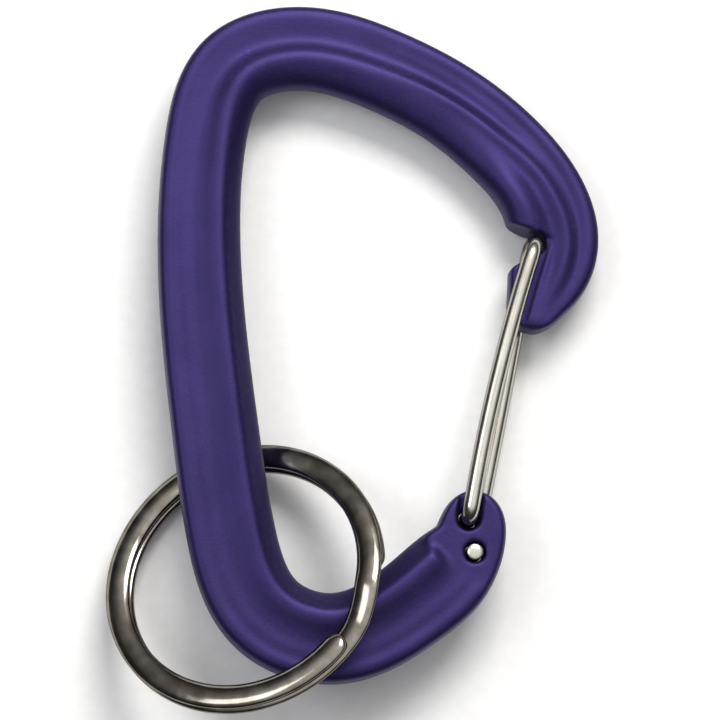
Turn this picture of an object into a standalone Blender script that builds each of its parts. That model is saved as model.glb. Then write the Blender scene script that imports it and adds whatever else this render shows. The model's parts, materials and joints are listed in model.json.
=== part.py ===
"""A small wire-gate accessory carabiner with a split key ring on it, lying on a flat surface.

It is three pieces: a hot-forged aluminium body, a spring-wire gate and a split ring. Each is drawn in
the design frame, where the body's parting plane is Z = 0, +Y runs up the spine and +X points to the gate.
The resting frame then tips them all as they lie: the ring is under the spine and lifts that side.

The gate is one bent wire. Its two ends turn in two different holes of the body, and that offset is what
makes it spring shut: the loop at its nose end twists as it opens. The wire is modelled as its two legs,
which meet at the middle of the loop.
"""

import math

import bmesh
import bpy
import numpy as np
from mathutils import Matrix, Vector

MM = 0.001

# Driving dimensions, in millimetres
WIRE = 1.45  # diameter of the gate's wire
RING_OUTSIDE = 24.95  # the split ring's outside diameter
PANEL = 1.65  # half thickness of the flat panel beside the ridge, and of the gate's boss
RIM = 1.78  # half thickness of the rim along the outer edge
RIDGE = 2.75  # half thickness of the rounded ridge that bears on the load
HOLE = 1.80  # diameter of the two holes that the gate's ends turn in
RUNNING_GAP = 0.20  # between the gate's legs and the boss's faces

# The body's centreline from the tip of the nose to the end of the boss, as (x, y, width of the bar).
# Its run between these stations is a smooth curve.
STATIONS = [
    (12.90, 1.10, 3.6),  # tip of the nose
    (13.42, 2.85, 4.7),
    (14.38, 5.15, 6.6),
    (15.25, 8.95, 7.95),  # behind the notch
    (14.42, 12.75, 7.65),
    (10.88, 17.36, 7.5),
    (6.09, 21.18, 7.35),
    (0.13, 24.19, 7.3),
    (-6.70, 25.84, 7.3),  # top of the basket
    (-12.60, 23.97, 7.25),
    (-15.05, 17.60, 7.1),
    (-15.57, 9.35, 7.2),  # spine
    (-15.09, 0.65, 7.4),
    (-14.05, -8.05, 7.55),
    (-12.70, -16.75, 7.7),
    (-9.60, -23.75, 7.85),
    (-3.80, -25.75, 7.9),  # lowest point of the base
    (3.05, -22.55, 7.9),
    (6.45, -19.40, 7.6),
    (7.95, -16.70, 6.2),  # boss of the gate
    (7.55, -13.00, 5.8),  # end of the boss
]
NOSE_CAP = 1.9  # length over which the nose rounds off
BOSS_CAP = 3.0  # length over which the boss rounds off
RIDGE_END = 8.0  # from the end of the boss to where the ridge drops to it
RIDGE_DROP = 1.4  # length of that drop
NOSE_OUTLINE, BOSS_OUTLINE = 2.2, 2.0  # power of the superellipse that each end follows in plan: 2 is round
NOSE_PROFILE, BOSS_PROFILE = 5, 8  # the same from the side, where both ends stay nearly full height
SHOULDER = (7.0, 13.0)  # from the tip: between these the ridge widens to a flat shoulder above the notch
RINGS = 64  # sections along the body
CAP_SECTIONS = 5  # of those, in each rounded end
DROP_SECTIONS = 5  # in the ridge's drop, and again in the boss

# Section of the bar, as shares of its width
OUTER_EDGE = 0.10  # how far the outer edge's rounding reaches in
PANEL_START = 0.21  # from the outer edge
PANEL_END = 0.46  # from the outer edge, where the ridge begins to rise
RIDGE_REACH = 0.285  # how far the ridge's inner rounding reaches in
ARM_PANEL_END, ARM_REACH = 0.32, 0.53  # the same two at the nose: the ridge crosses the bar along the arm
CROSSING = (12.0, 56.0)  # distances from the tip, in millimetres: the ridge crosses between these
SHOULDER_EDGE = 0.17
SHOULDER_RISE = 0.8  # share of the way to the shoulder's edge over which its surface rises
BOSS_EDGE = 0.45  # rounding of the boss's edges, in millimetres

# The gate: the two holes and the middle of the loop
NEAR_HOLE = (7.68, -15.42)
FAR_HOLE = (8.21, -18.32)
LOOP = (13.53, 8.70)
NEAR_BOW = 0.48  # how far the near leg bows towards the spine
FAR_BOW = 0.08
END_BEND = 1.1  # bend radius where a leg turns into its hole
LOOP_BEND = 1.5  # bend radius where a leg turns into the loop
LEG_Z = PANEL + RUNNING_GAP + WIRE / 2
NEAR_END = PANEL - 0.15  # the near leg's end stays below the back face, because the far leg sweeps over it
FAR_END = PANEL + 0.10  # the far leg's end stands just proud of the front face
LOOP_GAP = 0.30  # between the two legs at the middle of the loop
WIRE_SIDES = 12
BEND_STEPS = np.radians([22.5, 45, 67.5])
LEG_SECTIONS = 14

# The nose's cuts
WEB = 1.50  # half thickness of the hook that the legs straddle
RECESS_MARGIN = 0.60  # clear space beside each leg
RECESS_SHARES = (1.035, 0.99, 0.93, 0.87, 0.80, 0.73, 0.64)  # where along a leg its border is worked out
RECESS_TOP, NOTCH_TOP = (8.5, 11.7), (9.0, 11.4)  # corners in the open space inside the basket
NOTCH_BOTTOM = (9.0, 4.6)
THROUGH = 5  # a cutter reaches this far from the parting plane, clear of the body
SHOULDER_CORNER = (11.40, 10.40)
NOTCH_ROOF = [(13.05, 9.85), (14.05, 9.62)]
NOTCH_FLOOR = [(12.90, 7.35), (12.30, 7.00), (11.62, 6.62), (11.15, 6.02), (10.70, 5.30)]
NOTCH_CLEARANCE = 0.28

# The pocket round each leg's bend
POCKET_FLOOR = 1.15
POCKET_RADIUS = 1.02
POCKET_LENGTH = 4.0
POCKET_LEAN = math.radians(7)  # it leans to the side that the gate opens to

# The split ring: two turns of flat wire with a step between them
BAND = 2.2  # width of the wire, across the ring
COIL = 0.94  # thickness of one turn
COIL_GAP = 0.07
BAND_ROUNDING = 0.42
STEP_ANGLE = math.radians(25)  # the wire steps from one level to the other over this angle
END_CLEARANCE = math.radians(2.5)
RING_STEPS = 54  # sections in one turn

# Where the ring lies on the body, in the design frame
RING_CENTRE = (-11.50, -20.55, -0.35)
RING_UPHILL = math.radians(-41)  # direction of the ring's high side, from +X
RING_TILT = math.radians(29.3)
RING_SPLIT = math.radians(-6)  # where the step starts, from +X
RING_PIVOT = math.radians(96)  # where the ring's wire passes under the spine, and turns on it

# How it lies: on the ring under the spine, on the ridge of the arm and on the gate's loop
ROLL = math.radians(4.48)  # about +Y, which lifts the spine
PITCH = math.radians(-3.89)  # about +X, which lifts the base

PURPLE = (0.085, 0.055, 0.235, 1)
STEEL = (0.62, 0.60, 0.55, 1)
NICKEL = (0.50, 0.48, 0.44, 1)


def natural_spline(knots, values, at):
    """Values at the given places on the smoothest curve through the knots."""
    knots, values = np.asarray(knots, float), np.asarray(values, float)
    n, step = len(knots), np.diff(knots)
    slope = np.diff(values) / step
    matrix, right = np.eye(n), np.zeros(n)
    for i in range(1, n - 1):
        matrix[i, i - 1 : i + 2] = step[i - 1], 2 * (step[i - 1] + step[i]), step[i]
        right[i] = 6 * (slope[i] - slope[i - 1])
    bend = np.linalg.solve(matrix, right)
    i = np.clip(np.searchsorted(knots, at) - 1, 0, n - 2)
    a, b, h = at - knots[i], knots[i + 1] - at, step[i]
    return (
        (bend[i] * b**3 + bend[i + 1] * a**3) / (6 * h)
        + (values[i] / h - bend[i] * h / 6) * b
        + (values[i + 1] / h - bend[i + 1] * h / 6) * a
    )


def ease(share):
    """0 before 0, 1 after 1, and smooth between."""
    share = min(1.0, max(0.0, share))
    return share * share * (3 - 2 * share)


def ellipse_arc(x, radius_x, radius_z, start, end, count):
    """Points on an ellipse centred on (x, 0), with angles in degrees."""
    angles = np.radians(np.linspace(start, end, count))
    return [(x + radius_x * math.cos(a), radius_z * math.sin(a)) for a in angles]


EDGE_POINTS, RISE_POINTS, CREST_POINTS = 5, 5, 7


def bar_section(width, panel_end, reach):
    """Upper half of the bar's section, from the outer edge to the inner one: rim, panel and ridge."""
    outer, edge, crest = -width / 2, OUTER_EDGE * width, (0.5 - reach) * width
    foot = outer + panel_end * width
    rise = np.linspace(0, 1, RISE_POINTS)[1:-1]
    return (
        ellipse_arc(outer + edge, edge, RIM, 180, 90, EDGE_POINTS)
        + [(outer + PANEL_START * width, PANEL), (foot, PANEL)]
        + [(foot + (crest - foot) * t, PANEL + (RIDGE - PANEL) * ease(t)) for t in rise]
        + ellipse_arc(crest, reach * width, RIDGE, 90, 0, CREST_POINTS)
    )


def flat_section(width, height, edge):
    """The same number of points as bar_section, for a plain flat plate with rounded edges."""
    outer, inner = -width / 2, width / 2
    flat = np.linspace(outer + edge, inner - edge, RISE_POINTS + 2)[1:-1]
    return (
        ellipse_arc(outer + edge, edge, height, 180, 90, EDGE_POINTS)
        + [(x, height) for x in flat]
        + ellipse_arc(inner - edge, edge, height, 90, 0, CREST_POINTS)
    )


def shoulder_section(width):
    """The bar with its ridge carried out to the inner edge as a flat."""
    outer, edge, crest = -width / 2, OUTER_EDGE * width, (0.5 - SHOULDER_EDGE) * width
    foot = outer + ARM_PANEL_END * width
    rise = np.linspace(0, 1, RISE_POINTS)[1:-1]
    return (
        ellipse_arc(outer + edge, edge, RIM, 180, 90, EDGE_POINTS)
        + [(outer + PANEL_START * width, PANEL), (foot, PANEL)]
        + [(foot + (crest - foot) * SHOULDER_RISE * t, PANEL + (RIDGE - PANEL) * ease(t)) for t in rise]
        + ellipse_arc(crest, SHOULDER_EDGE * width, RIDGE, 90, 0, CREST_POINTS)
    )


def mix(first, second, share):
    return (1 - share) * np.array(first) + share * np.array(second)


def put_origin(thing, x, y, z):
    """Moves an object's origin to a point, in millimetres, and leaves its shape where it is."""
    point = Vector((x, y, z)) * MM
    thing.data.transform(Matrix.Translation(-point))
    thing.location = point


def mesh_object(name, vertices, faces):
    """A closed mesh in millimetres becomes an object in metres."""
    mesh = bpy.data.meshes.new(name)
    mesh.from_pydata([Vector(v) * MM for v in vertices], [], faces)
    bm = bmesh.new()
    bm.from_mesh(mesh)
    bmesh.ops.recalc_face_normals(bm, faces=bm.faces)
    bm.to_mesh(mesh)
    bm.free()
    thing = bpy.data.objects.new(name, mesh)
    bpy.context.scene.collection.objects.link(thing)
    return thing


def loft(name, sections, start=None, end=None):
    """A tube through closed sections of equal length, ended by a point or by the section's own face."""
    size = len(sections[0])
    vertices = [p for section in sections for p in section]
    faces = []
    for i in range(len(sections) - 1):
        for j in range(size):
            a, b = i * size + j, i * size + (j + 1) % size
            faces.append((a, b, b + size, a + size))
    for tip, first in ((start, 0), (end, (len(sections) - 1) * size)):
        ring = [first + j for j in range(size)]
        if tip is None:
            faces.append(ring)
        else:
            vertices.append(tip)
            faces += [(ring[j], ring[(j + 1) % size], len(vertices) - 1) for j in range(size)]
    return mesh_object(name, vertices, faces)


def prism(name, outline, low, high):
    """A straight-sided solid on an outline in X and Y."""
    return loft(name, [[(x, y, z) for x, y in outline] for z in (low, high)])


def cut(body, cutter):
    """Subtracts the cutter, which stays in the scene as a hidden guide."""
    cutter.hide_render = True
    cutter.display_type = "WIRE"
    step = body.modifiers.new(cutter.name, "BOOLEAN")
    step.operation = "DIFFERENCE"
    step.solver = "EXACT"
    step.object = cutter


def leg_curve(hole, bow, lift):
    """Plan of a leg as a function of the share of its length, and where it is at that share."""
    start, end = np.array(hole), np.array(LOOP)
    along = end - start
    length = np.hypot(*along)
    side = np.array([-along[1], along[0]]) / length

    def place(share):
        x, y = start + share * along + 4 * bow * share * (1 - share) * side
        return np.array([x, y, lift])

    return place, length


def gate_leg(name, hole, bow, face, end_level):
    """Half of the gate's wire: its end in the hole, the leg on that face, and half of the loop."""
    place, length = leg_curve(hole, bow, face * LEG_Z)
    low, high = END_BEND / length, 1 - LOOP_BEND / length
    up = np.array([0, 0, face])
    path = [np.array([*hole, -face * end_level]), np.array([*hole, face * (LEG_Z - END_BEND)])]
    foot, head = place(low), place(high)
    for turn in BEND_STEPS:
        toward = (foot - place(0)) * (1 - math.cos(turn))
        path.append(np.array([*hole, 0]) + toward + up * (LEG_Z - END_BEND * (1 - math.sin(turn))))
    path += [place(share) for share in np.linspace(low, high, LEG_SECTIONS)]
    for turn in BEND_STEPS:
        toward = (place(1) - head) * math.sin(turn)
        path.append(head + toward - up * LOOP_BEND * (1 - math.cos(turn)))
    path += [np.array([*LOOP, face * (LEG_Z - LOOP_BEND)]), np.array([*LOOP, face * LOOP_GAP / 2])]
    leg = tube(name, path, WIRE / 2)
    put_origin(leg, *hole, 0)
    return leg


def tube(name, path, radius):
    """A round wire along a path, with its section carried along without twisting."""
    path = [Vector(p) for p in path]
    last = len(path) - 1
    tangents = [(path[min(i + 1, last)] - path[max(i - 1, 0)]).normalized() for i in range(last + 1)]
    side = tangents[0].orthogonal().normalized()
    sections = []
    for point, tangent in zip(path, tangents):
        side = (side - tangent * side.dot(tangent)).normalized()
        other = tangent.cross(side)
        angles = [2 * math.pi * j / WIRE_SIDES for j in range(WIRE_SIDES)]
        sections.append([point + radius * (side * math.cos(a) + other * math.sin(a)) for a in angles])
    return loft(name, sections)


def body_stations():
    """Centre, sideways direction, width and distances from both ends at each section of the bar."""
    x, y, width = (np.array(column) for column in zip(*STATIONS))
    knots = np.concatenate([[0], np.cumsum(np.hypot(np.diff(x), np.diff(y)))])
    total = knots[-1]
    drop = total - RIDGE_END
    turn = np.linspace(0, math.pi / 2, CAP_SECTIONS + 2)[1:-1]
    plain = RINGS - 2 * CAP_SECTIONS - 2 * DROP_SECTIONS
    places = np.concatenate(
        [
            NOSE_CAP * (1 - np.cos(turn)),
            np.linspace(NOSE_CAP, drop, plain, endpoint=False),
            drop + np.linspace(0, RIDGE_DROP, DROP_SECTIONS),
            np.linspace(drop + RIDGE_DROP, total - BOSS_CAP, DROP_SECTIONS + 1)[1:],
            total - BOSS_CAP * (1 - np.sin(turn)),
        ]
    )
    fine = 0.01  # millimetres either side, for the curve's direction
    found = []
    for s in places:
        here, ahead, behind = (
            np.array([natural_spline(knots, v, t) for v in (x, y)]) for t in (s, s + fine, s - fine)
        )
        along = (ahead - behind) / np.hypot(*(ahead - behind))
        inward = np.array([-along[1], along[0]])
        found.append((here, inward, natural_spline(knots, width, s), s, total - s))
    return found


def rounded_end(distance, cap, power):
    """1 away from an end, and falling to 0 at it along a rounded outline."""
    share = max(0.0, 1 - distance / cap)
    return (1 - share**power) ** (1 / power)


def make_body():
    sections = []
    for centre, inward, width, from_nose, from_boss in body_stations():
        full = width * rounded_end(from_nose, NOSE_CAP, NOSE_OUTLINE)
        full *= rounded_end(from_boss, BOSS_CAP, BOSS_OUTLINE)
        low, high = CROSSING
        crossed = ease((high - from_nose) / (high - low))
        half = mix(
            bar_section(full, PANEL_END, RIDGE_REACH), bar_section(full, ARM_PANEL_END, ARM_REACH), crossed
        )
        low, high = SHOULDER
        shoulder = ease((high - from_nose) / (high - low))
        half = mix(half, shoulder_section(full), shoulder)
        boss = ease((RIDGE_END - from_boss) / RIDGE_DROP)
        half = mix(half, flat_section(full, PANEL, min(BOSS_EDGE, full / 3)), boss)
        thickness = rounded_end(from_nose, NOSE_CAP, NOSE_PROFILE)
        thickness *= rounded_end(from_boss, BOSS_CAP, BOSS_PROFILE)
        upper = [(x, z * thickness) for x, z in half]
        lower = [(x, -z) for x, z in reversed(upper[1:-1])]
        sections.append([(*(centre + inward * x), z) for x, z in upper + lower])
    tip, end = STATIONS[0], STATIONS[-1]
    body = loft("forged_body", sections, start=(tip[0], tip[1], 0), end=(end[0], end[1], 0))
    for cutter in (*nose_cutters(), *boss_cutters()):
        cut(body, cutter)
    return body


def nose_cutters():
    """The notch that the loop closes into, and the recess on each face that a leg closes into."""
    x, y = LOOP
    radius = WIRE / 2 + NOTCH_CLEARANCE
    back = [(x + radius * math.cos(a), y + radius * math.sin(a)) for a in np.radians([50, 20, -10, -40, -70])]
    notch = [NOTCH_TOP, SHOULDER_CORNER, *NOTCH_ROOF, *back, *NOTCH_FLOOR, NOTCH_BOTTOM]
    yield prism("notch_cutter", notch, -THROUGH, THROUGH)
    for face, hole, bow in ((1, NEAR_HOLE, NEAR_BOW), (-1, FAR_HOLE, FAR_BOW)):
        place, _ = leg_curve(hole, bow, 0)
        beside = WIRE / 2 + RECESS_MARGIN
        border = []
        for share in RECESS_SHARES:
            ahead = place(share + 0.01) - place(share - 0.01)
            ahead /= np.hypot(*ahead[:2])
            here = place(share)
            border.append((here[0] + beside * ahead[1], here[1] - beside * ahead[0]))
        outline = [RECESS_TOP, SHOULDER_CORNER, *NOTCH_ROOF, *border, (RECESS_TOP[0], border[-1][1])]
        low, high = sorted((face * WEB, face * THROUGH))
        yield prism("recess_cutter", outline, low, high)


def capsule(start, angle, length, radius, count=9):
    """Outline with one round end at start and its open end a length away."""
    along, side = np.array([math.cos(angle), math.sin(angle)]), np.array([-math.sin(angle), math.cos(angle)])
    turns = np.linspace(math.pi / 2, 3 * math.pi / 2, count)
    bottom = [np.array(start) + radius * (along * math.cos(t) + side * math.sin(t)) for t in turns]
    far = np.array(start) + along * length
    return [tuple(p) for p in (*bottom, far - side * radius, far + side * radius)]


def boss_cutters():
    """The two holes, and a pocket on each face round the bend of the leg that turns in there."""
    for hole in (NEAR_HOLE, FAR_HOLE):
        circle = [
            (hole[0] + HOLE / 2 * math.cos(a), hole[1] + HOLE / 2 * math.sin(a))
            for a in np.linspace(0, 2 * math.pi, 21)[:-1]
        ]
        yield prism("hole_cutter", circle, -THROUGH, THROUGH)
    for face, hole in ((1, NEAR_HOLE), (-1, FAR_HOLE)):
        angle = math.atan2(LOOP[1] - hole[1], LOOP[0] - hole[0]) + POCKET_LEAN
        low, high = sorted((face * POCKET_FLOOR, face * THROUGH))
        yield prism("pocket_cutter", capsule(hole, angle, POCKET_LENGTH, POCKET_RADIUS), low, high)


def ring_matrix():
    """Places the ring: its high side points uphill, and its axis leans away from that side."""
    uphill = Vector((math.cos(RING_UPHILL), math.sin(RING_UPHILL), 0))
    hinge = Vector((uphill.y, -uphill.x, 0))
    lean = Matrix.Rotation(RING_TILT, 4, hinge)
    return Matrix.Translation(Vector(RING_CENTRE)) @ lean


def make_ring():
    """The wire runs clockwise: a turn on top, the step down, then a turn below."""
    level = (COIL + COIL_GAP) / 2
    middle = (RING_OUTSIDE - BAND) / 2
    turn = 2 * math.pi - STEP_ANGLE - 2 * END_CLEARANCE
    step = np.linspace(0, 1, 7)[1:-1]
    angles = np.concatenate([np.linspace(turn, 0, RING_STEPS), -STEP_ANGLE * step])
    levels = np.concatenate([np.full(RING_STEPS, level), [level * (1 - 2 * ease(t)) for t in step]])
    angles = np.concatenate([angles, np.linspace(0, -turn, RING_STEPS) - STEP_ANGLE])
    levels = np.concatenate([levels, np.full(RING_STEPS, -level)])
    half_band, half_coil, r = BAND / 2, COIL / 2, BAND_ROUNDING
    outline = [
        (sx * (half_band - r * (1 - math.cos(a))), sz * (half_coil - r * (1 - math.sin(a))))
        for sx, sz, order in ((1, 1, 1), (-1, 1, -1), (-1, -1, 1), (1, -1, -1))
        for a in np.radians([0, 45, 90][::order])
    ]
    sections = []
    for angle, lift in zip(angles + RING_SPLIT, levels):
        out = Vector((math.cos(angle), math.sin(angle), 0))
        sections.append([out * (middle + x) + Vector((0, 0, lift + z)) for x, z in outline])
    placed = ring_matrix()
    ring = loft("split_ring", [[placed @ p for p in section] for section in sections])
    pivot = Vector((math.cos(RING_PIVOT), math.sin(RING_PIVOT), 0)) * middle
    put_origin(ring, *(placed @ pivot))
    return ring


def finish(thing, colour, roughness, metallic, sharp=35):
    material = bpy.data.materials.new(thing.name)
    material.use_nodes = True
    shader = material.node_tree.nodes["Principled BSDF"]
    shader.inputs["Base Color"].default_value = colour
    shader.inputs["Roughness"].default_value = roughness
    shader.inputs["Metallic"].default_value = metallic
    thing.data.materials.append(material)
    thing.data.shade_smooth()
    thing.data.set_sharp_from_angle(angle=math.radians(sharp))


def lay_down(things):
    """Rolls everything as it lies, with its lowest point on the surface under the origin."""
    resting = bpy.data.objects.new("resting_frame", None)
    bpy.context.scene.collection.objects.link(resting)
    lie = Matrix.Rotation(PITCH, 4, "X") @ Matrix.Rotation(ROLL, 4, "Y")
    graph = bpy.context.evaluated_depsgraph_get()
    corners = np.array(
        [
            lie @ (thing.location + vertex.co)
            for thing in things
            for vertex in thing.evaluated_get(graph).data.vertices
        ]
    )
    low, high = corners.min(axis=0), corners.max(axis=0)
    resting.rotation_euler = lie.to_euler()
    resting.location = (-(low[0] + high[0]) / 2, -(low[1] + high[1]) / 2, -low[2])
    for thing in bpy.data.objects:
        if thing is not resting:
            thing.parent = resting


def main():
    for thing in list(bpy.data.objects):
        bpy.data.objects.remove(thing)
    body = make_body()
    near = gate_leg("gate_wire_near_leg", NEAR_HOLE, NEAR_BOW, 1, NEAR_END)
    far = gate_leg("gate_wire_far_leg", FAR_HOLE, FAR_BOW, -1, FAR_END)
    ring = make_ring()
    finish(body, PURPLE, 0.45, 0.6)
    finish(near, STEEL, 0.25, 1.0)
    finish(far, STEEL, 0.25, 1.0)
    finish(ring, NICKEL, 0.15, 1.0)
    lay_down([body, near, far, ring])


main()
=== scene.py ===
"""A small wire-gate carabiner with a split key ring, lying on a pale surface under soft studio light.

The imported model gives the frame, the bodies and the joints. The three pieces are drawn again here with
finer surfaces. They are drawn in millimetres in the design frame, where the body's parting plane is
Z = 0 and +Y runs up the spine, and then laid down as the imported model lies.
"""

import json
import math

import bmesh
import bpy
import numpy as np
from mathutils import Matrix, Vector


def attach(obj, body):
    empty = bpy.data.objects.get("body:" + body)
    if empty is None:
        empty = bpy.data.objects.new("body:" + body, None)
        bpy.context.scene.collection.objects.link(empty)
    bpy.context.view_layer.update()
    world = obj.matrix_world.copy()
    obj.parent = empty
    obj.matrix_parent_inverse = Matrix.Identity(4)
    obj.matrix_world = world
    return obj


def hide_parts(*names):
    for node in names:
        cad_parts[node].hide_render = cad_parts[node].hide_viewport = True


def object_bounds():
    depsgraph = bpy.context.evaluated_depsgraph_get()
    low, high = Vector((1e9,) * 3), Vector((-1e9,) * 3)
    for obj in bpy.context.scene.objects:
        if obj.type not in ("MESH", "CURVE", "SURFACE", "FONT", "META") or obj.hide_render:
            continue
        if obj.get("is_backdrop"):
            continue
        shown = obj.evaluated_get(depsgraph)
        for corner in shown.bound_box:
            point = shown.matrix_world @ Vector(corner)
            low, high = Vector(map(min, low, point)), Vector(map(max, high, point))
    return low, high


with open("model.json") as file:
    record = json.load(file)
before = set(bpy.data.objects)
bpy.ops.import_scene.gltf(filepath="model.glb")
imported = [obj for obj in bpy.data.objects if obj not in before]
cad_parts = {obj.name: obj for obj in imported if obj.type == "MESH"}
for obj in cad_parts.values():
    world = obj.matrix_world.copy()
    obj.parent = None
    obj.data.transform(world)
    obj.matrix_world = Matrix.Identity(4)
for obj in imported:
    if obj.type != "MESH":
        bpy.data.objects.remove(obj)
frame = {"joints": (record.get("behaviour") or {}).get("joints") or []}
cad_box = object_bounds()
joints = {joint["name"]: joint for joint in frame["joints"]}

MM = 0.001

# Design sizes in millimetres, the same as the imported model's unless a comment says otherwise
WIRE = 1.45
RING_OUTSIDE = 24.95
PANEL = 1.65
STATIONS = [  # x, y and width of the bar, from the tip of the nose to the end of the boss
    (12.90, 1.10, 3.6),
    (13.42, 2.85, 4.7),
    (14.38, 5.15, 6.6),
    (15.25, 8.95, 7.95),
    (14.42, 12.75, 7.65),
    (10.88, 17.36, 7.5),
    (6.09, 21.18, 7.35),
    (0.13, 24.19, 7.3),
    (-6.70, 25.84, 7.3),
    (-12.60, 23.97, 7.25),
    (-15.05, 17.60, 7.1),
    (-15.57, 9.35, 7.2),
    (-15.09, 0.65, 7.4),
    (-14.05, -8.05, 7.55),
    (-12.70, -16.75, 7.7),
    (-9.60, -23.75, 7.85),
    (-3.80, -25.75, 7.9),
    (3.05, -22.55, 7.9),
    (6.45, -19.40, 7.6),
    (7.95, -16.70, 6.2),
    (7.55, -13.00, 5.8),
]
NOSE_CAP, BOSS_CAP = 1.9, 3.0  # lengths over which the bar rounds off at its two ends
NOSE_OUTLINE, BOSS_OUTLINE = 2.2, 2.0  # powers of those roundings, in plan
NOSE_PROFILE, BOSS_PROFILE = 5, 8  # and from the side
RIDGE_END = 8.0  # from the end of the boss to where the ridge starts to drop to it
RIDGE_DROP = 1.4  # length of that drop

# The gate's wire
NEAR_HOLE = (7.68, -15.42)
FAR_HOLE = (8.21, -18.32)
LOOP = (13.53, 8.70)
NEAR_BOW = 0.48  # how far the near leg bows towards the spine
FAR_BOW = -0.12  # away from the spine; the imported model's is 0.08
LEGS = ((1, NEAR_HOLE, NEAR_BOW), (-1, FAR_HOLE, FAR_BOW))  # the first number is 1 for the front face
END_BEND, LOOP_BEND = 1.1, 1.5  # bend radii, where a leg turns into its hole and into the loop
RUNNING_GAP = 0.20
LEG_Z = PANEL + RUNNING_GAP + WIRE / 2
NEAR_END, FAR_END = PANEL - 0.15, PANEL + 0.10  # how far the ends reach past the middle of the boss

# The cuts in the nose and the boss
WEB = 1.50  # half thickness of the nose between the legs
NOTCH_ROOF = [(13.05, 9.85), (14.05, 9.62)]
NOTCH_FLOOR = [(12.90, 7.35), (12.30, 7.00), (11.62, 6.62), (11.15, 6.02), (10.70, 5.30)]
NOTCH_TOP, NOTCH_BOTTOM = (9.0, 11.4), (9.0, 4.6)
NOTCH_CLEARANCE = 0.28
SHOULDER_CORNER = (11.40, 10.40)
RECESS_TOP = (8.5, 11.7)
RECESS_MARGIN = 0.60  # clear space beside each leg
RECESS_SHARES = (1.035, 0.99, 0.93, 0.87, 0.80, 0.73, 0.64)  # where along a leg its border is worked out
POCKET_FLOOR, POCKET_RADIUS, POCKET_LENGTH = 1.15, 1.02, 4.0
POCKET_LEAN = math.radians(7)  # it leans to the side that the gate opens to
HOLE_RADIUS, HOLE_FRONT_RADIUS = 0.80, 0.93  # 0.90 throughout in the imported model
HOLE_FRONT = 0.45  # height from which a hole is wide
THROUGH = 5  # a height beyond both faces of the body

# The split ring
BAND, COIL = 2.2, 0.94  # width and thickness of its wire
COIL_GAP = 0.07
STEP_ANGLE = math.radians(25)  # the wire steps from one level to the other over this angle
END_CLEARANCE = math.radians(2.5)
END_TAPER = 1.3  # length over which its ends round off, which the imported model's don't
RING_CENTRE = (-11.50, -20.55, -0.35)
RING_UPHILL = math.radians(-41)  # direction of the ring's high side, from +X
RING_TILT = math.radians(29.3)
RING_SPLIT = math.radians(-6)  # where the step starts, from +X

# How the body rests
ROLL = math.radians(4.48)  # about +Y, which lifts the spine
PITCH = math.radians(-3.89)  # about +X, which lifts the base

# Fineness
SECTIONS = 300
SECTION_POINTS = 72
WIRE_SIDES = 40
RING_SECTIONS = 220
RING_SIDES = 36
VOXEL = 0.15
SMOOTHING = 7
NUDGE = 0.01  # the step over which a curve's direction is taken


def natural_spline(knots, values, at):
    """Values at the given places on the smoothest curve through the knots."""
    knots, values = np.asarray(knots, float), np.asarray(values, float)
    n, step = len(knots), np.diff(knots)
    slope = np.diff(values) / step
    matrix, right = np.eye(n), np.zeros(n)
    for i in range(1, n - 1):
        matrix[i, i - 1 : i + 2] = step[i - 1], 2 * (step[i - 1] + step[i]), step[i]
        right[i] = 6 * (slope[i] - slope[i - 1])
    bend = np.linalg.solve(matrix, right)
    i = np.clip(np.searchsorted(knots, at) - 1, 0, n - 2)
    a, b, h = at - knots[i], knots[i + 1] - at, step[i]
    return (
        (bend[i] * b**3 + bend[i + 1] * a**3) / (6 * h)
        + (values[i] / h - bend[i] * h / 6) * b
        + (values[i + 1] / h - bend[i + 1] * h / 6) * a
    )


def ease(share):
    share = np.clip(share, 0, 1)
    return share * share * (3 - 2 * share)


def laid_down():
    """The matrix that takes the design frame, in metres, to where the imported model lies."""
    lie = Matrix.Rotation(PITCH, 4, "X") @ Matrix.Rotation(ROLL, 4, "Y")
    hinge = Vector(joints["gate_near_hinge"]["pos_m"])
    return Matrix.Translation(hinge - lie @ (Vector((*NEAR_HOLE, 0)) * MM)) @ lie


DOWN = laid_down()


def mesh_from(name, vertices, faces):
    mesh = bpy.data.meshes.new(name)
    mesh.from_pydata([tuple(v) for v in vertices], [], faces)
    bm = bmesh.new()
    bm.from_mesh(mesh)
    bmesh.ops.recalc_face_normals(bm, faces=bm.faces)
    bm.to_mesh(mesh)
    bm.free()
    thing = bpy.data.objects.new(name, mesh)
    bpy.context.scene.collection.objects.link(thing)
    return thing


def loft(name, sections, start=None, end=None):
    """A tube through closed sections of equal length, ended by a point or by the section's own face."""
    size = len(sections[0])
    vertices = [p for section in sections for p in section]
    faces = []
    for i in range(len(sections) - 1):
        for j in range(size):
            a, b = i * size + j, i * size + (j + 1) % size
            faces.append((a, b, b + size, a + size))
    for tip, first in ((start, 0), (end, (len(sections) - 1) * size)):
        ring = [first + j for j in range(size)]
        if tip is None:
            faces.append(ring)
        else:
            vertices.append(tip)
            faces += [(ring[j], ring[(j + 1) % size], len(vertices) - 1) for j in range(size)]
    return mesh_from(name, vertices, faces)


def prism(name, outline, low, high):
    """A straight-sided solid, which is used to cut with."""
    return loft(name, [[(x, y, z) for x, y in outline] for z in (low, high)])


def arc(centre, radius, turns):
    return [(centre[0] + radius * math.cos(a), centre[1] + radius * math.sin(a)) for a in turns]


def apply_modifiers(thing):
    """Bakes an object's modifiers into its mesh."""
    graph = bpy.context.evaluated_depsgraph_get()
    mesh = bpy.data.meshes.new_from_object(thing.evaluated_get(graph))
    thing.modifiers.clear()
    thing.data = mesh


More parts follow.
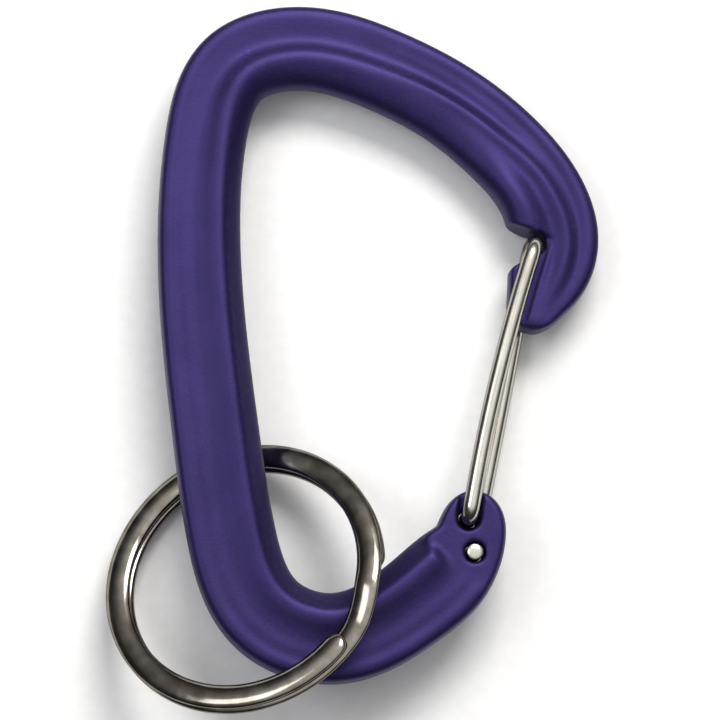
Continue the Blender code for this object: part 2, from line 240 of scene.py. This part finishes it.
def settle(thing, local=None):
    """Takes a piece drawn in millimetres to its place, with its own axes on the local frame."""
    local = local or Matrix.Identity(4)
    shrink = Matrix.Scale(MM, 4)
    thing.data.transform(shrink @ local.inverted())
    thing.matrix_world = DOWN @ Matrix.Translation(local.translation * MM) @ local.to_3x3().to_4x4()
    thing.data.shade_smooth()


# The forged body

# Points across the bar: share of the width from the outer edge, and half thickness. Every row has as many
# points as the others.
TIP_ROW = [
    (0, 0), (0.008, 0.80), (0.030, 1.46), (0.080, 1.64), (0.15, 1.68), (0.20, 1.69), (0.24, 1.70),
    (0.29, 1.71), (0.34, 1.72), (0.375, 1.72), (0.42, 1.71), (0.49, 1.69), (0.56, 1.72), (0.74, 1.85),
    (0.97, 1.30), (1, 0),
]
NOSE_ROW = [
    (0, 0), (0.008, 0.80), (0.030, 1.46), (0.080, 1.66), (0.15, 1.72), (0.20, 1.64), (0.24, 1.64),
    (0.29, 1.80), (0.34, 1.96), (0.375, 1.98), (0.42, 1.86), (0.49, 1.64), (0.56, 1.72), (0.74, 2.10),
    (0.97, 1.30), (1, 0),
]
SHOULDER_ROW = [
    (0, 0), (0.008, 0.80), (0.030, 1.46), (0.080, 1.69), (0.15, 1.74), (0.21, 1.64), (0.26, 1.66),
    (0.32, 1.78), (0.37, 1.96), (0.42, 2.10), (0.475, 2.02), (0.55, 1.90), (0.66, 2.16), (0.82, 2.38),
    (0.96, 1.60), (1, 0),
]
ARM_ROW = [
    (0, 0), (0.008, 0.80), (0.030, 1.46), (0.080, 1.68), (0.15, 1.72), (0.21, 1.64), (0.29, 1.66),
    (0.35, 1.61), (0.41, 1.76), (0.455, 1.98), (0.50, 2.14), (0.57, 2.08), (0.68, 2.04), (0.82, 1.86),
    (0.94, 1.36), (1, 0),
]
TOP_ROW = [
    (0, 0), (0.008, 0.80), (0.030, 1.46), (0.080, 1.68), (0.15, 1.74), (0.22, 1.705), (0.29, 1.655),
    (0.36, 1.605), (0.43, 1.62), (0.50, 1.81), (0.56, 2.05), (0.62, 2.17), (0.76, 2.00), (0.86, 1.70),
    (0.95, 1.20), (1, 0),
]
SPINE_ROW = [
    (0, 0), (0.008, 0.80), (0.030, 1.46), (0.075, 1.69), (0.14, 1.75), (0.20, 1.67), (0.29, 1.69),
    (0.40, 1.66), (0.49, 1.74), (0.57, 1.92), (0.64, 2.11), (0.71, 2.20), (0.78, 2.10), (0.85, 1.66),
    (0.93, 1.02), (1, 0),
]
ROWS = [TIP_ROW, TIP_ROW, NOSE_ROW, SHOULDER_ROW, ARM_ROW, TOP_ROW, SPINE_ROW, SPINE_ROW, SPINE_ROW]
ROW_PLACES = [0, 2, 7, 13, 20, 35, 60, 90, 120]  # along the bar, from the tip of the nose
ROW_LEAN = 0.6  # how much the change from row to row carries on through a row
PANEL_TOP = 1.75  # what stands above this is drawn twice as far above it on the underside
BAR_WIDTH = 7.5  # a typical width, for spacing the points of a section
BOSS_EDGE = 0.5  # rounding of the boss's edges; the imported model's is 0.45
STEP_BOW, STEP_CREST, STEP_POWER = 1.7, 0.45, 1.6  # the boss's step bows towards the base at STEP_CREST


def row_at(place):
    """The points across the bar at any place along it."""
    rows = np.array(ROWS)
    slopes = np.gradient(rows, ROW_PLACES, axis=0)
    low = int(np.clip(np.searchsorted(ROW_PLACES, place) - 1, 0, len(ROWS) - 2))
    step = ROW_PLACES[low + 1] - ROW_PLACES[low]
    share = float(np.clip((place - ROW_PLACES[low]) / step, 0, 1))
    bend = share * (1 - share)
    level = rows[low] + (rows[low + 1] - rows[low]) * ease(share)
    lean = slopes[low] * (1 - share) * bend - slopes[low + 1] * share * bend
    return level + ROW_LEAN * step * lean


def section_curve(points, count):
    """A smooth closed outline as x shares and heights; the underside's ridge stands a little taller."""
    half = np.array(points)
    under = half.copy()
    under[:, 1] += np.maximum(half[:, 1] - PANEL_TOP, 0)
    loop = np.vstack([half, (under * (1, -1))[-2:0:-1]])
    overlap = 4  # points repeated at either end, so that the curve closes smoothly
    wrapped = np.vstack([loop[-overlap:], loop, loop[: overlap + 1]])
    scaled = wrapped * (BAR_WIDTH, 1)
    knots = np.concatenate([[0], np.cumsum(np.hypot(*np.diff(scaled, axis=0).T))])
    start, end = knots[overlap], knots[overlap + len(loop)]
    at = start + (end - start) * np.arange(count) / count
    return np.column_stack([natural_spline(knots, column, at) for column in wrapped.T])


def boss_section(width, count):
    """A flat plate with rounded edges, with its points spread round it like section_curve's."""
    flat = np.linspace(0, 1, 60)[1:-1] * (width - 2 * BOSS_EDGE) + BOSS_EDGE
    turn = np.radians(np.linspace(90, 0, 12))
    half = [(BOSS_EDGE - BOSS_EDGE * math.sin(a), PANEL * math.cos(a)) for a in turn]
    half += [(x, PANEL) for x in flat]
    half += [(width - BOSS_EDGE + BOSS_EDGE * math.sin(a), PANEL * math.cos(a)) for a in turn[::-1]]
    half = np.array(half)
    loop = np.vstack([half, (half * (1, -1))[-2:0:-1], half[:1]])
    knots = np.concatenate([[0], np.cumsum(np.hypot(*np.diff(loop, axis=0).T))])
    at = knots[-1] * np.arange(count) / count
    return np.column_stack([np.interp(at, knots, column) for column in loop.T])


def rounded_end(distance, cap, power):
    """How much of the full size is left at a distance from an end."""
    share = max(0.0, 1 - distance / cap)
    return (1 - share**power) ** (1 / power)


def body_blank():
    """The bar, swept along its centreline, before its nose and boss are cut."""
    x, y, width = (np.array(column) for column in zip(*STATIONS))
    knots = np.concatenate([[0], np.cumsum(np.hypot(np.diff(x), np.diff(y)))])
    total = knots[-1]
    inner = np.linspace(NOSE_CAP, total - BOSS_CAP, SECTIONS)
    turn = np.linspace(0, math.pi / 2, 16)[1:-1]
    places = [*(NOSE_CAP * (1 - np.cos(turn))), *inner, *(total - BOSS_CAP * (1 - np.sin(turn)))]
    sections = []
    for s in places:
        here, ahead, behind = (
            np.array([natural_spline(knots, v, t) for v in (x, y)]) for t in (s, s + NUDGE, s - NUDGE)
        )
        along = (ahead - behind) / np.hypot(*(ahead - behind))
        inward = np.array([-along[1], along[0]])
        full = natural_spline(knots, width, s)
        to_end = total - s
        full *= rounded_end(s, NOSE_CAP, NOSE_OUTLINE) * rounded_end(to_end, BOSS_CAP, BOSS_OUTLINE)
        outline = section_curve(row_at(s), SECTION_POINTS) * (full, 1)
        across = outline[:, 0] / full
        past_step = RIDGE_END - STEP_BOW * np.abs(across - STEP_CREST) ** STEP_POWER - to_end
        boss = ease(past_step / RIDGE_DROP)[:, None]
        if boss.max() > 0:
            outline = outline + (boss_section(full, SECTION_POINTS) - outline) * boss
        outline[:, 1] *= rounded_end(s, NOSE_CAP, NOSE_PROFILE) * rounded_end(to_end, BOSS_CAP, BOSS_PROFILE)
        sections.append([(*(here + inward * (u - full / 2)), z) for u, z in outline])
    tip, end = STATIONS[0], STATIONS[-1]
    return loft("forged_body_fine", sections, start=(tip[0], tip[1], 0), end=(end[0], end[1], 0))


def leg_curve(hole, bow, lift):
    """Plan of a leg as a function of the share of its length, and that length."""
    start, end = np.array(hole), np.array(LOOP)
    along = end - start
    length = np.hypot(*along)
    side = np.array([-along[1], along[0]]) / length

    def place(share):
        x, y = start + share * along + 4 * bow * share * (1 - share) * side
        return np.array([x, y, lift])

    return place, length


def nose_cutters():
    """The notch through the nose, and the recess over each face that lets a leg in from the side."""
    back = arc(LOOP, WIRE / 2 + NOTCH_CLEARANCE, np.radians(np.linspace(50, -70, 13)))
    roof = [SHOULDER_CORNER, *NOTCH_ROOF]
    yield prism("notch", [NOTCH_TOP, *roof, *back, *NOTCH_FLOOR, NOTCH_BOTTOM], -THROUGH, THROUGH)
    beside = WIRE / 2 + RECESS_MARGIN
    for face, hole, bow in LEGS:
        place, _ = leg_curve(hole, bow, 0)
        border = []
        for share in RECESS_SHARES:
            ahead = place(share + NUDGE) - place(share - NUDGE)
            ahead /= np.hypot(*ahead[:2])
            here = place(share)
            border.append((here[0] + beside * ahead[1], here[1] - beside * ahead[0]))
        outline = [RECESS_TOP, *roof, *border, (RECESS_TOP[0], border[-1][1])]
        yield prism("recess", outline, *sorted((face * WEB, face * THROUGH)))


def capsule(start, angle, length, radius):
    """A slot's outline: half a circle round its start, and straight sides to its far end."""
    along = np.array([math.cos(angle), math.sin(angle)])
    side = np.array([-along[1], along[0]])
    turns = np.linspace(math.pi / 2, 3 * math.pi / 2, 25)
    bottom = [np.array(start) + radius * (along * math.cos(t) + side * math.sin(t)) for t in turns]
    far = np.array(start) + along * length
    return [tuple(p) for p in (*bottom, far - side * radius, far + side * radius)]


def boss_cutters():
    """The U-shaped pocket that each leg bends down in, and the two holes, wider towards the front."""
    for face, hole, _ in LEGS:
        angle = math.atan2(LOOP[1] - hole[1], LOOP[0] - hole[0]) + POCKET_LEAN
        slot = capsule(hole, angle, POCKET_LENGTH, POCKET_RADIUS)
        yield prism("pocket", slot, *sorted((face * POCKET_FLOOR, face * THROUGH)))
    turns = np.linspace(0, 2 * math.pi, 49)[:-1]
    for _, hole, _ in LEGS:
        for radius, low in ((HOLE_RADIUS, -THROUGH), (HOLE_FRONT_RADIUS, HOLE_FRONT)):
            yield prism("hole", arc(hole, radius, turns), low, THROUGH)


def make_body():
    body = body_blank()
    for cutter in (*nose_cutters(), *boss_cutters()):
        step = body.modifiers.new(cutter.name, "BOOLEAN")
        step.operation = "DIFFERENCE"
        step.solver = "MANIFOLD"
        step.object = cutter
        apply_modifiers(body)
        bpy.data.objects.remove(cutter)
    remesh = body.modifiers.new("remesh", "REMESH")
    remesh.mode = "VOXEL"
    remesh.voxel_size = VOXEL * 1
    smooth = body.modifiers.new("smooth", "SMOOTH")
    smooth.factor = 0.5
    smooth.iterations = SMOOTHING
    apply_modifiers(body)
    settle(body)
    return body


# The gate


def tube(name, path, radii):
    """A round wire along a path, with its section carried along without twisting."""
    path = [Vector(p) for p in path]
    last = len(path) - 1
    tangents = [(path[min(i + 1, last)] - path[max(i - 1, 0)]).normalized() for i in range(last + 1)]
    side = tangents[0].orthogonal().normalized()
    angles = [2 * math.pi * j / WIRE_SIDES for j in range(WIRE_SIDES)]
    sections = []
    for point, tangent, radius in zip(path, tangents, radii):
        side = (side - tangent * side.dot(tangent)).normalized()
        other = tangent.cross(side)
        sections.append([point + radius * (side * math.cos(a) + other * math.sin(a)) for a in angles])
    return loft(name, sections)


def gate_leg(name, hole, bow, face, end_level):
    """Half of the gate's wire, with a domed end in its hole and half of the loop in the nose."""
    place, length = leg_curve(hole, bow, face * LEG_Z)
    low, high = END_BEND / length, 1 - LOOP_BEND / length
    up = np.array([0, 0, face])
    foot, head = place(low), place(high)
    radius, least = WIRE / 2, 0.02
    dome, dome_power = 0.18, 0.8  # height of the end's dome, and how full it is
    path, radii = [], []
    for turn in np.linspace(0, math.pi / 2, 8):
        path.append(np.array([*hole, -face * (end_level - dome + dome * math.cos(turn))]))
        radii.append(max(least, radius * math.sin(turn) ** dome_power))
    path.append(np.array([*hole, 0]))
    path.append(np.array([*hole, face * (LEG_Z - END_BEND - 0.05)]))
    turns = np.radians(np.linspace(0, 90, 13))
    for turn in turns[:-1]:
        toward = (foot - place(0)) * (1 - math.cos(turn))
        path.append(np.array([*hole, 0]) + toward + up * (LEG_Z - END_BEND * (1 - math.sin(turn))))
    path += [place(share) for share in np.linspace(low, high, 60)]
    for turn in turns[1:]:
        toward = (place(1) - head) * math.sin(turn)
        path.append(head + toward - up * LOOP_BEND * (1 - math.cos(turn)))
    path.append(np.array([*LOOP, face * 0.4]))
    radii += [radius] * (len(path) - len(radii))
    past_middle = 0.5  # each half of the loop runs this far into the other half, rounding off
    for turn in np.linspace(0, math.pi / 2, 6):
        path.append(np.array([*LOOP, -face * past_middle * math.sin(turn)]))
        radii.append(max(least, radius * math.cos(turn)))
    leg = tube(name, path, radii)
    along = Vector((*LOOP, 0)) - Vector((*hole, 0))
    along.normalize()
    across = along.cross(Vector((0, 0, 1)))
    local = Matrix((across, along, Vector((0, 0, 1)))).transposed().to_4x4()
    local.translation = Vector((*hole, 0))
    settle(leg, local)
    return leg


# The split ring


def ring_frame():
    """The ring's own axes in the design frame: its centre, and the tilt that it lies at."""
    uphill = Vector((math.cos(RING_UPHILL), math.sin(RING_UPHILL), 0))
    hinge = Vector((uphill.y, -uphill.x, 0))
    return Matrix.Translation(Vector(RING_CENTRE)) @ Matrix.Rotation(RING_TILT, 4, hinge)


def oval(width, height, count):
    turns = np.linspace(0, 2 * math.pi, count + 1)[:-1]
    return [(width / 2 * math.cos(a), height / 2 * math.sin(a)) for a in turns]


def make_ring():
    level = (COIL + COIL_GAP) / 2
    middle = (RING_OUTSIDE - BAND) / 2
    turn = 2 * math.pi - STEP_ANGLE - 2 * END_CLEARANCE
    down = np.linspace(0, 1, 24)[1:-1]
    along = ease(np.linspace(0, 0.5, RING_SECTIONS)) * 2  # closer together near an end
    angles = [*(turn * (1 - along)), *(-STEP_ANGLE * down), *(-turn * (1 - along[::-1]) - STEP_ANGLE)]
    flat = np.full(RING_SECTIONS, level)
    levels = [*flat, *(level * (1 - 2 * ease(down))), *-flat]
    outline = oval(BAND, COIL, RING_SIDES)
    blunt = 0.02  # keeps the end sections from shrinking to a point
    sections = []
    for angle, lift in zip(angles, levels):
        to_end = middle * min(turn - angle, angle + turn + STEP_ANGLE) + blunt
        wide, thick = rounded_end(to_end, END_TAPER, 2), rounded_end(to_end, END_TAPER, 4)
        angle += RING_SPLIT
        out = Vector((math.cos(angle), math.sin(angle), 0))
        sections.append([out * (middle + wide * x) + Vector((0, 0, lift + thick * z)) for x, z in outline])
    ring = loft("split_ring_fine", sections)
    placed = ring_frame()
    ring.data.transform(placed)
    settle(ring, placed)
    return ring


# Materials


def new_material(name):
    material = bpy.data.materials.new(name)
    material.use_nodes = True
    tree = material.node_tree
    return material, tree.nodes, tree.links, tree.nodes["Principled BSDF"]


def noise(nodes, links, coordinates, scale, detail=2.0, stretch=None):
    """Noise in object space; scale is in features per metre, and stretch scales each axis."""
    source = coordinates
    if stretch:
        mapping = nodes.new("ShaderNodeMapping")
        mapping.inputs["Scale"].default_value = stretch
        links.new(coordinates, mapping.inputs["Vector"])
        source = mapping.outputs["Vector"]
    texture = nodes.new("ShaderNodeTexNoise")
    texture.inputs["Scale"].default_value = scale
    texture.inputs["Detail"].default_value = detail
    links.new(source, texture.inputs["Vector"])
    return texture.outputs["Fac"]


def ramp(nodes, links, value, stops):
    """A colour ramp; stops are (position, colour)."""
    node = nodes.new("ShaderNodeValToRGB")
    elements = node.color_ramp.elements
    while len(elements) > 1:
        elements.remove(elements[-1])
    elements[0].position, elements[0].color = stops[0]
    for position, colour in stops[1:]:
        element = elements.new(position)
        element.color = colour
    links.new(value, node.inputs["Fac"])
    return node.outputs["Color"]


def mix_colours(nodes, links, factor, first, second, blend="MIX"):
    node = nodes.new("ShaderNodeMix")
    node.data_type = "RGBA"
    node.blend_type = blend
    for socket, value in ((0, factor), (6, first), (7, second)):
        if isinstance(value, (int, float, tuple)):
            node.inputs[socket].default_value = value
        else:
            links.new(value, node.inputs[socket])
    return node.outputs[2]


def grey(value):
    return (value, value, value, 1)


def bump(nodes, links, height, shader, strength, distance):
    """Fine relief; the distance is in metres."""
    node = nodes.new("ShaderNodeBump")
    node.inputs["Strength"].default_value = strength
    node.inputs["Distance"].default_value = distance
    links.new(height, node.inputs["Height"])
    links.new(node.outputs["Normal"], shader.inputs["Normal"])


def metal(shader):
    """Bare metal, with reflections that darken where it turns away."""
    shader.inputs["Metallic"].default_value = 1.0
    shader.inputs["Specular Tint"].default_value = (0.16, 0.14, 0.12, 1)


def anodised():
    """Matt anodising over a blasted forging: fine grain, cloudy dye, and a paler tone on its sharp edges and
    crests that is partly edge wear and partly a painted highlight.
    """
    material, nodes, links, shader = new_material("anodised_purple")
    space = nodes.new("ShaderNodeTexCoord").outputs["Object"]
    clouds = noise(nodes, links, space, scale=260, detail=3)
    grain = noise(nodes, links, space, scale=5200)
    dye = ramp(nodes, links, clouds, [(0.30, (0.026, 0.018, 0.084, 1)), (0.70, (0.032, 0.022, 0.100, 1))])
    speckle = ramp(nodes, links, grain, [(0.30, grey(0.86)), (0.70, grey(1.12))])
    colour = mix_colours(nodes, links, 1.0, dye, speckle, "MULTIPLY")
    sharpness = nodes.new("ShaderNodeNewGeometry").outputs["Pointiness"]
    # Sharp edges and crests are painted paler: partly edge wear, partly a painted highlight where light
    # catches the crests.
    edge_wear_and_painted_highlight = ramp(nodes, links, sharpness, [(0.50, grey(0.0)), (0.56, grey(0.35))])
    colour = mix_colours(nodes, links, edge_wear_and_painted_highlight, colour, (0.044, 0.032, 0.130, 1))
    links.new(colour, shader.inputs["Base Color"])
    gloss = ramp(nodes, links, grain, [(0.25, grey(0.44)), (0.75, grey(0.54))])
    links.new(gloss, shader.inputs["Roughness"])
    shader.inputs["Metallic"].default_value = 0.8
    shader.inputs["Specular IOR Level"].default_value = 0.3
    bump(nodes, links, grain, shader, strength=0.25, distance=0.00004)
    return material


def drawn_wire():
    """Stainless spring wire with fine lines drawn along it."""
    material, nodes, links, shader = new_material("stainless_wire")
    space = nodes.new("ShaderNodeTexCoord").outputs["Object"]
    lines = noise(nodes, links, space, scale=9000, stretch=(1, 0.02, 1))
    stains = noise(nodes, links, space, scale=500)
    colour = ramp(nodes, links, lines, [(0.3, (0.52, 0.495, 0.43, 1)), (0.7, (0.68, 0.655, 0.585, 1))])
    links.new(colour, shader.inputs["Base Color"])
    gloss = ramp(nodes, links, stains, [(0.3, grey(0.16)), (0.7, grey(0.26))])
    links.new(gloss, shader.inputs["Roughness"])
    metal(shader)
    bump(nodes, links, lines, shader, strength=0.2, distance=0.00001)
    return material


def nickel():
    """Bright nickel with tumbling scuffs, and lines that follow the wire round the ring."""
    material, nodes, links, shader = new_material("nickel_plate")
    space = nodes.new("ShaderNodeTexCoord").outputs["Object"]
    split = nodes.new("ShaderNodeSeparateXYZ")
    links.new(space, split.inputs["Vector"])
    flat = nodes.new("ShaderNodeCombineXYZ")
    links.new(split.outputs["X"], flat.inputs["X"])
    links.new(split.outputs["Y"], flat.inputs["Y"])
    length = nodes.new("ShaderNodeVectorMath")
    length.operation = "LENGTH"
    links.new(flat.outputs["Vector"], length.inputs[0])
    round_ring = nodes.new("ShaderNodeCombineXYZ")
    links.new(length.outputs["Value"], round_ring.inputs["X"])
    links.new(split.outputs["Z"], round_ring.inputs["Z"])
    lines = noise(nodes, links, round_ring.outputs["Vector"], scale=7000)
    scuffs = noise(nodes, links, space, scale=700, detail=4)
    colour = ramp(nodes, links, scuffs, [(0.3, (0.20, 0.178, 0.15, 1)), (0.7, (0.34, 0.315, 0.275, 1))])
    links.new(colour, shader.inputs["Base Color"])
    gloss = ramp(nodes, links, scuffs, [(0.35, grey(0.10)), (0.75, grey(0.22))])
    links.new(gloss, shader.inputs["Roughness"])
    metal(shader)
    bump(nodes, links, lines, shader, strength=0.15, distance=0.00001)
    return material


def floor_paint():
    """Pale matt paint, a little uneven."""
    material, nodes, links, shader = new_material("pale_floor")
    space = nodes.new("ShaderNodeTexCoord").outputs["Object"]
    patches = noise(nodes, links, space, scale=900, detail=3)
    tone = ramp(nodes, links, patches, [(0.3, grey(0.86)), (0.7, grey(0.90))])
    links.new(tone, shader.inputs["Base Color"])
    shader.inputs["Roughness"].default_value = 0.9
    return material


# The set


def make_floor():
    bpy.ops.mesh.primitive_plane_add(size=1.6, location=(0, 0, -0.00005))
    floor = bpy.context.object
    floor.name = "floor"
    floor.data.materials.append(floor_paint())
    floor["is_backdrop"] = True


def area_light(name, place, size, power, colour):
    """A rectangular light that looks at the origin; the place and size are in metres."""
    light = bpy.data.lights.new(name, "AREA")
    light.shape = "RECTANGLE"
    light.size, light.size_y = size
    light.energy = power
    light.color = colour
    lamp = bpy.data.objects.new(name, light)
    bpy.context.scene.collection.objects.link(lamp)
    lamp.location = place
    lamp.rotation_euler = (-Vector(place)).to_track_quat("-Z", "Y").to_euler()


def make_lights():
    """A soft key from beyond the basket, a weak fill from the spine's side, and a sky bright overhead."""
    area_light("key", (0.09, 0.27, 0.35), size=(0.22, 0.16), power=1.6, colour=(1.0, 0.985, 0.95))
    area_light("fill", (-0.25, 0.06, 0.38), size=(0.20, 0.20), power=0.45, colour=(0.95, 0.97, 1.0))
    world = bpy.data.worlds.new("studio")
    bpy.context.scene.world = world
    world.use_nodes = True
    nodes, links = world.node_tree.nodes, world.node_tree.links
    height = nodes.new("ShaderNodeVectorMath")
    height.operation = "DOT_PRODUCT"
    height.inputs[1].default_value = (0.08, 0.28, 0.955)  # the sky's brightest direction
    links.new(nodes.new("ShaderNodeTexCoord").outputs["Generated"], height.inputs[0])
    stops = [(0.0, 0.03), (0.40, 0.06), (0.62, 0.25), (0.80, 0.85), (1.0, 1.1)]
    sky = ramp(nodes, links, height.outputs["Value"], [(place, grey(value)) for place, value in stops])
    links.new(sky, nodes["Background"].inputs["Color"])
    nodes["Background"].inputs["Strength"].default_value = 1.0


def make_camera():
    """Nearly overhead, a little towards the foot of the carabiner."""
    aim = Vector((-0.04, -0.10, 4.7)) * MM
    distance = 0.45
    tilt = math.radians(85)
    back = Vector((0, -math.cos(tilt), math.sin(tilt)))
    data = bpy.data.cameras.new("camera")
    data.lens = 259.8
    data.clip_start, data.clip_end = 0.01, 10
    camera = bpy.data.objects.new("camera", data)
    bpy.context.scene.collection.objects.link(camera)
    camera.location = aim + back * distance
    camera.rotation_mode = "QUATERNION"
    camera.rotation_quaternion = (-back).to_track_quat("-Z", "Y")
    bpy.context.scene.camera = camera


def finish_piece(piece, body, node, material):
    piece.data.materials.clear()
    piece.data.materials.append(material)
    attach(piece, body)
    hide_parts(node)


make_camera()
wire = drawn_wire()
finish_piece(make_body(), "body", "forged_body", anodised())
near = gate_leg("gate_wire_near_leg_fine", NEAR_HOLE, NEAR_BOW, 1, NEAR_END)
finish_piece(near, "near_gate_leg", "gate_wire_near_leg", wire)
far = gate_leg("gate_wire_far_leg_fine", FAR_HOLE, FAR_BOW, -1, FAR_END)
finish_piece(far, "far_gate_leg", "gate_wire_far_leg", wire)
finish_piece(make_ring(), "key_ring", "split_ring", nickel())
make_floor()
make_lights()
bpy.context.scene.view_settings.view_transform = "Standard"

[[list(corner) for corner in box] for box in (cad_box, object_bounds())]
